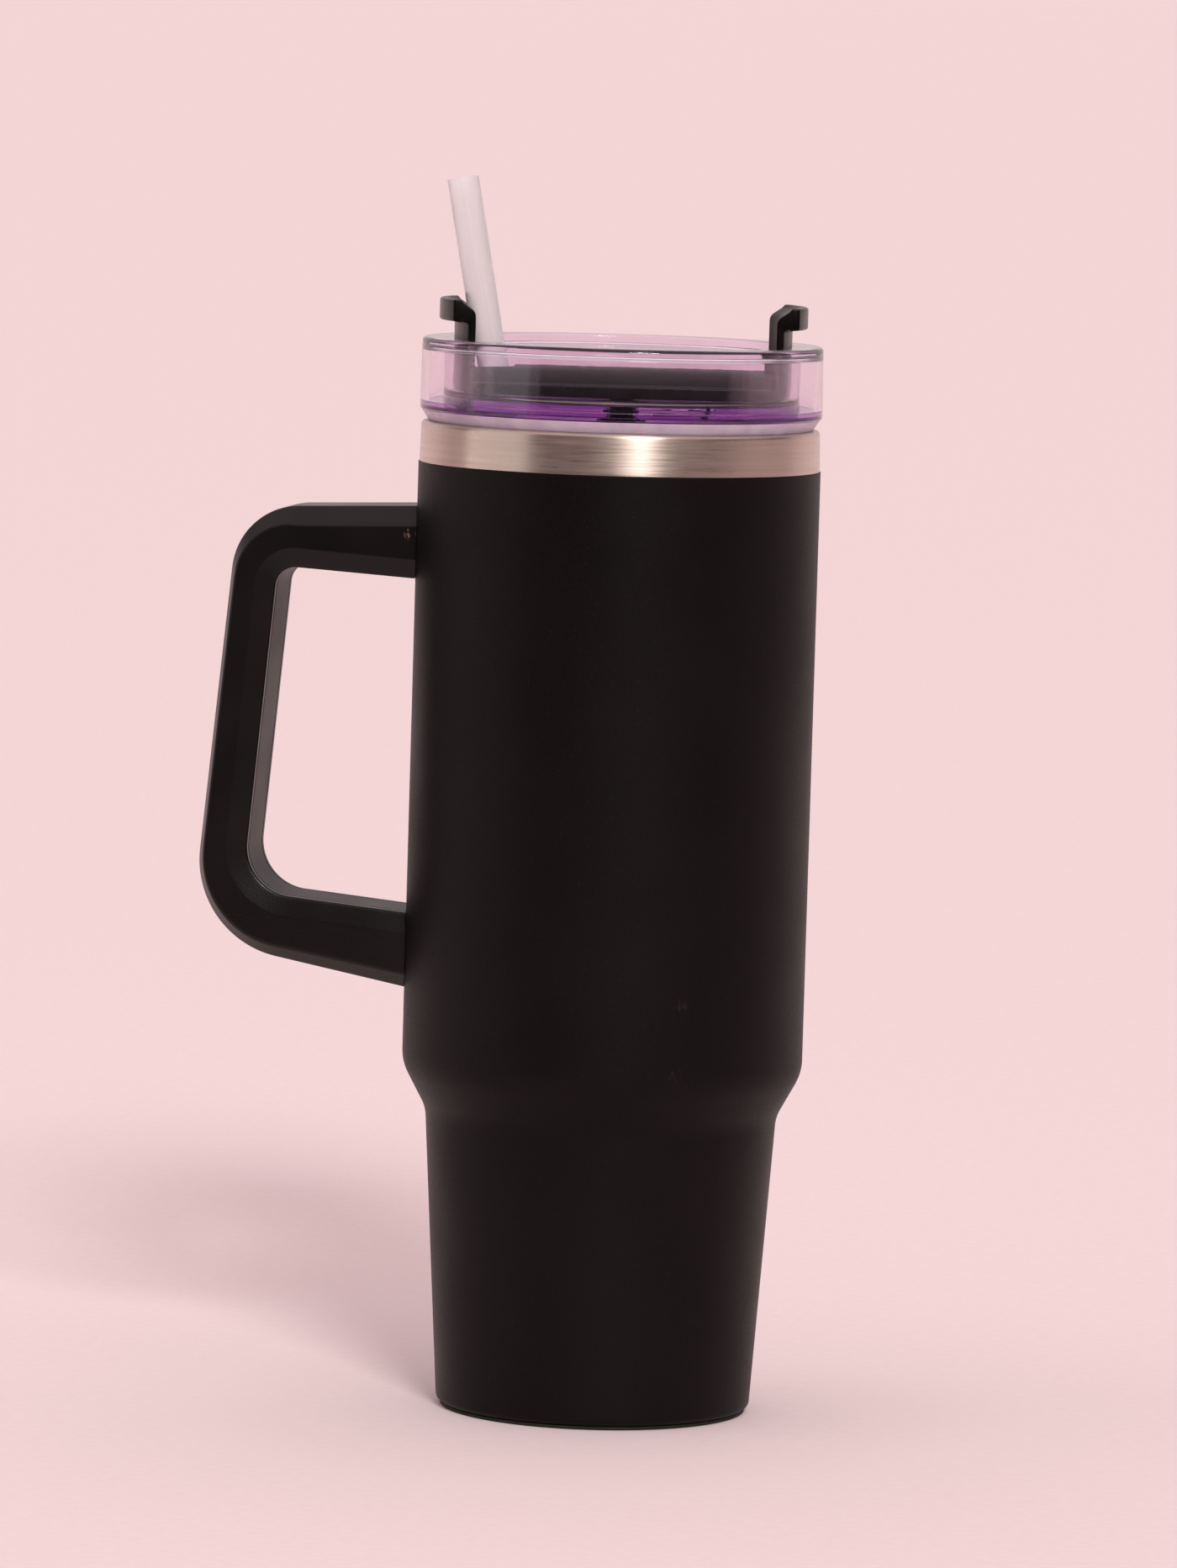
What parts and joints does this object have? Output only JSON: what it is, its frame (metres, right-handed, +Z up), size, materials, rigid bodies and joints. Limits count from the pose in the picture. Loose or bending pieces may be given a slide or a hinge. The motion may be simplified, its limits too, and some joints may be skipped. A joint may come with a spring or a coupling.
{
  "type": "insulated tumbler with lid",
  "caption": "Tall double-wall travel tumbler with a stepped cup-holder base, side handle, clear press-in lid, turning closure strap and leaning straw.",
  "frame": {"origin": "centre of the base on the surface the tumbler stands on, on the cup's axis", "axes": "+Z up along the cup's axis; the handle points along -X; +Y is the side with the drinking opening"},
  "size_m": [0.1492, 0.098, 0.3007],
  "materials": {
    "powder_coat": "fine matt powder coat",
    "bare_steel": "brushed round the mouth",
    "welded_steel": "pressed, unpolished",
    "copper_foil": "bright foil",
    "getter_tablet": "sintered",
    "seal_bead": "fused bead",
    "pad_rubber": "matt",
    "handle_plastic": "satin moulded",
    "cover_plastic": "satin moulded",
    "screw_steel": "zinc plated",
    "lid_clear": "clear polished, faint violet tint",
    "silicone": "translucent satin",
    "closure_plastic": "semi-gloss moulded",
    "straw_plastic": "frosted"
  },
  "bodies": {
    "cup": {"outer_shell": "powder_coat", "inner_liner": "bare_steel", "radiation_foil": "copper_foil", "outer_base": "welded_steel", "getter": "getter_tablet", "vacuum_seal": "seal_bead", "base_cover": "powder_coat", "base_pad": "pad_rubber", "upper_bracket": "welded_steel", "lower_bracket": "welded_steel", "handle_frame": "handle_plastic", "handle_cover": "cover_plastic", "handle_screws": "screw_steel"},
    "lid": {"lid_body": "lid_clear", "lid_base": "lid_clear", "rim_gasket": "silicone"},
    "closure": {"closure_strap": "closure_plastic", "closure_seal": "silicone", "pivot_pin": "closure_plastic", "pivot_ring": "silicone"},
    "straw": {"straw": "straw_plastic"}
  },
  "joints": [
    {"name": "lid_lift", "type": "slide", "parent": "cup", "child": "lid", "axis": [0, 0, 1], "range_m": [0, 0.245]},
    {"name": "closure_turn", "type": "hinge", "parent": "lid", "child": "closure", "pos_m": [0, 0, 0.2474], "axis": [0, 0, 1], "range_deg": [-11.5, 78.5]},
    {"name": "straw_pull", "type": "slide", "parent": "lid", "child": "straw", "axis": [-0.184, 0, 0.9829], "range_m": [0, 0.29]}
  ]
}
